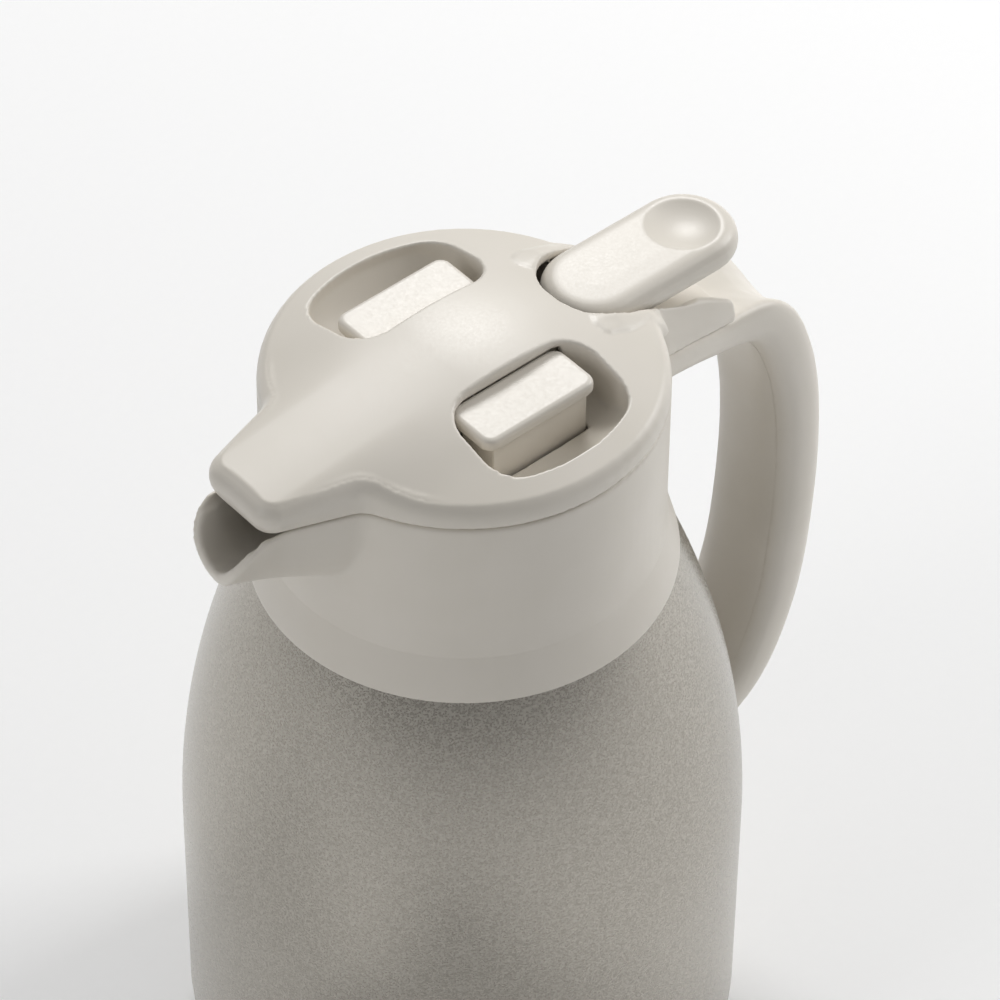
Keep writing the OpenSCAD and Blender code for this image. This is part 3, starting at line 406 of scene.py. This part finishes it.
# Cutters: the collar's bore, and the side of the bottle with a small clearance
COLLAR_BORE = 44.6
BORE_SPAN = (150.0, 260.0)
BODY_CLEAR = BODY_R + 0.3
BODY_SPAN = (20.0, BELLY)


def smooth_run(rows, steps):
    """Catmull-Rom curve through the stations."""
    rows = [np.array(r, float) for r in rows]
    out = []
    for i in range(len(rows) - 1):
        a, b = rows[max(i - 1, 0)], rows[i]
        c, d = rows[i + 1], rows[min(i + 2, len(rows) - 1)]
        for k in range(steps):
            t = k / steps
            out.append(0.5 * (2 * b + (c - a) * t + (2 * a - 5 * b + 4 * c - d) * t * t
                              + (3 * b - a - 3 * c + d) * t ** 3))
    return out + [rows[-1]]


def grip_point(row, way, angle, wall):
    """Point of the handle's squared oval section at an angle in degrees."""
    x, z, half_w, half_t, square, trough = row
    power = 2 / (square if math.sin(math.radians(angle)) > 0 else INNER_SQUARE)
    c = math.cos(math.radians(angle))
    s = math.sin(math.radians(angle))
    u = (half_w - wall) * math.copysign(abs(c) ** power, c)
    v = (half_t - wall) * math.copysign(abs(s) ** power, s)
    if v > 0:
        across_trough = max(0, 1 - (u / (half_w - GRIP_WALL)) ** 2)
        v -= trough * across_trough * min(1, v / (half_t * 0.5))
    return (x - way[1] * v, u, z + way[0] * v)


def grip_shell(piece_name, start, arc, steps):
    """One shell of the handle from a station on, as an arc of the section with a wall."""
    path = smooth_run(HANDLE, SPANS)
    rings = []
    for i in range(start * SPANS, len(path)):
        a, b = path[max(i - 1, 0)], path[min(i + 1, len(path) - 1)]
        way = (b[:2] - a[:2]) / np.linalg.norm(b[:2] - a[:2])
        angles = np.linspace(*arc, steps)
        rings.append([grip_point(path[i], way, t, 0.0) for t in angles]
                     + [grip_point(path[i], way, t, GRIP_WALL) for t in angles[::-1]])
    return section_sweep(piece_name, rings)


collar = copy_of("collar", "moulded_collar")
grip = grip_shell("grip_skin", start=0, arc=OUTER_ARC, steps=72)
cut_round(grip, COLLAR_BORE, *BORE_SPAN)
cut_round(grip, BODY_CLEAR, *BODY_SPAN)
add_to(collar, grip)
moulded(collar, voxel=0.65, passes=8)
# The thin flared edge on the bottle is turned as its own crisp ring, and the moulded skin
# draws back behind it
SKIRT_Z = 168.0
SKIRT_H = 9.0                   # height over which the skin draws back
SKIRT_REACH = 52.0              # radius that leaves the handle out
DRAW_BACK = 0.5
for vertex in collar.data.vertices:
    reach = math.hypot(vertex.co.x, vertex.co.y)
    if vertex.co.z < (SKIRT_Z + SKIRT_H) * MM and reach < SKIRT_REACH * MM:
        vertex.co.x *= 1 - DRAW_BACK * MM / reach
        vertex.co.y *= 1 - DRAW_BACK * MM / reach
skirt = turned("collar_skirt", [
    (shoulder(SKIRT_Z) + 0.06, SKIRT_Z), (49.95, SKIRT_Z), (50.14, SKIRT_Z + 0.07),
    (50.25, SKIRT_Z + 0.25), (50.26, SKIRT_Z + 0.6), (50.18, SKIRT_Z + 1.1),
    (48.85, SKIRT_Z + 6.0), (47.42, SKIRT_Z + 11.3), (47.34, SKIRT_Z + 11.6),
    (47.2, SKIRT_Z + 11.7), (46.2, SKIRT_Z + 11.7), (shoulder(SKIRT_Z + 7) + 0.1, SKIRT_Z + 7.0)])
add_to(collar, skirt)
finish_piece(collar, "root", "ivory_plastic", ivory, "collar")

liner = grip_shell("grip_liner", start=LINER_START, arc=LINER_ARC, steps=48)
cut_round(liner, BODY_CLEAR, *BODY_SPAN)
pick(liner)
bpy.ops.object.shade_smooth_by_angle(angle=math.radians(LINER_CREASE))
finish_piece(liner, "root", "ivory_plastic", ivory, "handle_liner")


# Lid

DOME_H = 15.4
DOME_K = 195.0
# A point on the dome's rim and one on the beak's tip: distance from the axis, and height
RIM_POINT = (42.2, 6.9)
TIP_POINT = (60.1, 10.2)
# Half width of the ridge, and the part of it over which it fades into the dome
RIDGE_HALF = 30.0
RIDGE_FADE = 21.0
# A vertex that faces up goes back onto the curve, and one that is PULL_END off it stays
FACES_UP = 0.85
PULL_END = 0.4
PULL_FADE = 0.25


def tangent_line(r, far, high):
    """Height along the dome's curve and then along its tangent to a point far out."""
    leave = far - math.sqrt(far * far - DOME_K * (DOME_H - high))
    return np.where(r < leave, DOME_H - r * r / DOME_K,
                    DOME_H - leave ** 2 / DOME_K - 2 * leave / DOME_K * (r - leave))


def lid_top(x, y):
    """Height of the lid's top: a round dome, and a ridge over the spout that flows out of it."""
    u = np.clip((RIDGE_HALF - abs(y)) / RIDGE_FADE, 0, 1)
    share = np.where(x < 0, u * u * (3 - 2 * u), 0)
    dome = tangent_line(np.hypot(x, y), *RIM_POINT)
    ridge = tangent_line(-x, *TIP_POINT) - y * y / DOME_K
    return dome + share * (np.maximum(dome, ridge) - dome)


lid = copy_of("lid_cover", "domed_lid")
moulded(lid, voxel=0.5, passes=8)
# The top is brought back onto its true curve, away from the rims of the pockets
count = len(lid.data.vertices)
places = np.empty(count * 3)
facing = np.empty(count * 3)
lid.data.vertices.foreach_get("co", places)
lid.data.vertices.foreach_get("normal", facing)
places = places.reshape(-1, 3)
facing = facing.reshape(-1, 3)
lift = lid_top(places[:, 0] / MM, places[:, 1] / MM) - (places[:, 2] / MM - SEAM)
near = np.clip((PULL_END - np.abs(lift)) / PULL_FADE, 0, 1) * (facing[:, 2] > FACES_UP)
places[:, 2] += near * lift * MM
lid.data.vertices.foreach_set("co", places.ravel())
lid.data.update()
finish_piece(lid, "lid", "ivory_plastic", ivory, "lid_cover")

lever = copy_of("lever", "pour_lever")
moulded(lever, voxel=0.4, passes=10)
finish_piece(lever, "lever", "ivory_plastic", ivory, "lever")

for side in ("left", "right"):
    button = copy_of("button_" + side, "squeeze_button_" + side)
    moulded(button, voxel=0.3, passes=5)
    finish_piece(button, "button_" + side, "ivory_plastic", ivory, "button_" + side)


# Floor, light and camera

deselect()
bpy.ops.mesh.primitive_plane_add(size=8, location=(0, 0, 0))
floor = bpy.context.object
floor.name = "studio_floor"
floor_paper, floor_tree, floor_shader, floor_where = new_material("white_paper", IOR=1.3)
weave = grain(floor_tree, floor_where, 3)
floor_tree.links.new(blend_colours(floor_tree, weave, "#fbfbfb", "#fdfdfd"),
                     floor_shader.inputs["Base Color"])
floor_tree.links.new(spread(floor_tree, weave, 0.8, 0.9), floor_shader.inputs["Roughness"])
floor.data.materials.append(floor_paper)


def soft_box(name, place, target, size, power):
    """A rectangular light of a size in metres and a power in watts, turned to a target."""
    light = bpy.data.lights.new(name, "AREA")
    light.shape = "RECTANGLE"
    light.size = size[0]
    light.size_y = size[1]
    light.energy = power
    item = bpy.data.objects.new(name, light)
    bpy.context.scene.collection.objects.link(item)
    item.location = place
    item.rotation_euler = (Vector(target) - Vector(place)).to_track_quat("-Z", "Y").to_euler()


middle = (0.0, 0.0, 0.18)
soft_box("key_right", (1.5, -0.4, 1.0), middle, (0.6, 1.0), 12)
soft_box("fill_left", (-1.3, 0.1, 0.9), middle, (0.5, 0.9), 3)
soft_box("back", (0.9, 1.05, 1.5), middle, (0.6, 0.6), 19)

world = bpy.data.worlds.new("studio")
bpy.context.scene.world = world
world.use_nodes = True
world.node_tree.nodes["Background"].inputs["Color"].default_value = (1, 1, 1, 1)
world.node_tree.nodes["Background"].inputs["Strength"].default_value = 0.28

# The camera stands 1.2 m off with a long lens and looks down over the spout's near side
CAMERA_FAR = 1.2
AIM = Vector((0, 0, 0.22))
CAMERA_ROLL = 0.27              # degrees
sight = Vector((0.4678, 0.5438, -0.6967)).normalized()
across = sight.cross(Vector((0, 0, 1))).normalized()
upward = across.cross(sight)
roll = math.radians(CAMERA_ROLL)
right = across * math.cos(roll) + upward * math.sin(roll)
up = upward * math.cos(roll) - across * math.sin(roll)
camera = bpy.data.cameras.new("camera")
camera.sensor_width = 36
camera.lens = 191.8
camera.shift_x = 0.0358
camera.shift_y = -0.1172
viewer = bpy.data.objects.new("camera", camera)
bpy.context.scene.collection.objects.link(viewer)
pose = Matrix((right, up, -sight)).transposed().to_4x4()
pose.translation = AIM - sight * CAMERA_FAR
viewer.matrix_world = pose
bpy.context.scene.camera = viewer
bpy.context.scene.view_settings.view_transform = "Standard"
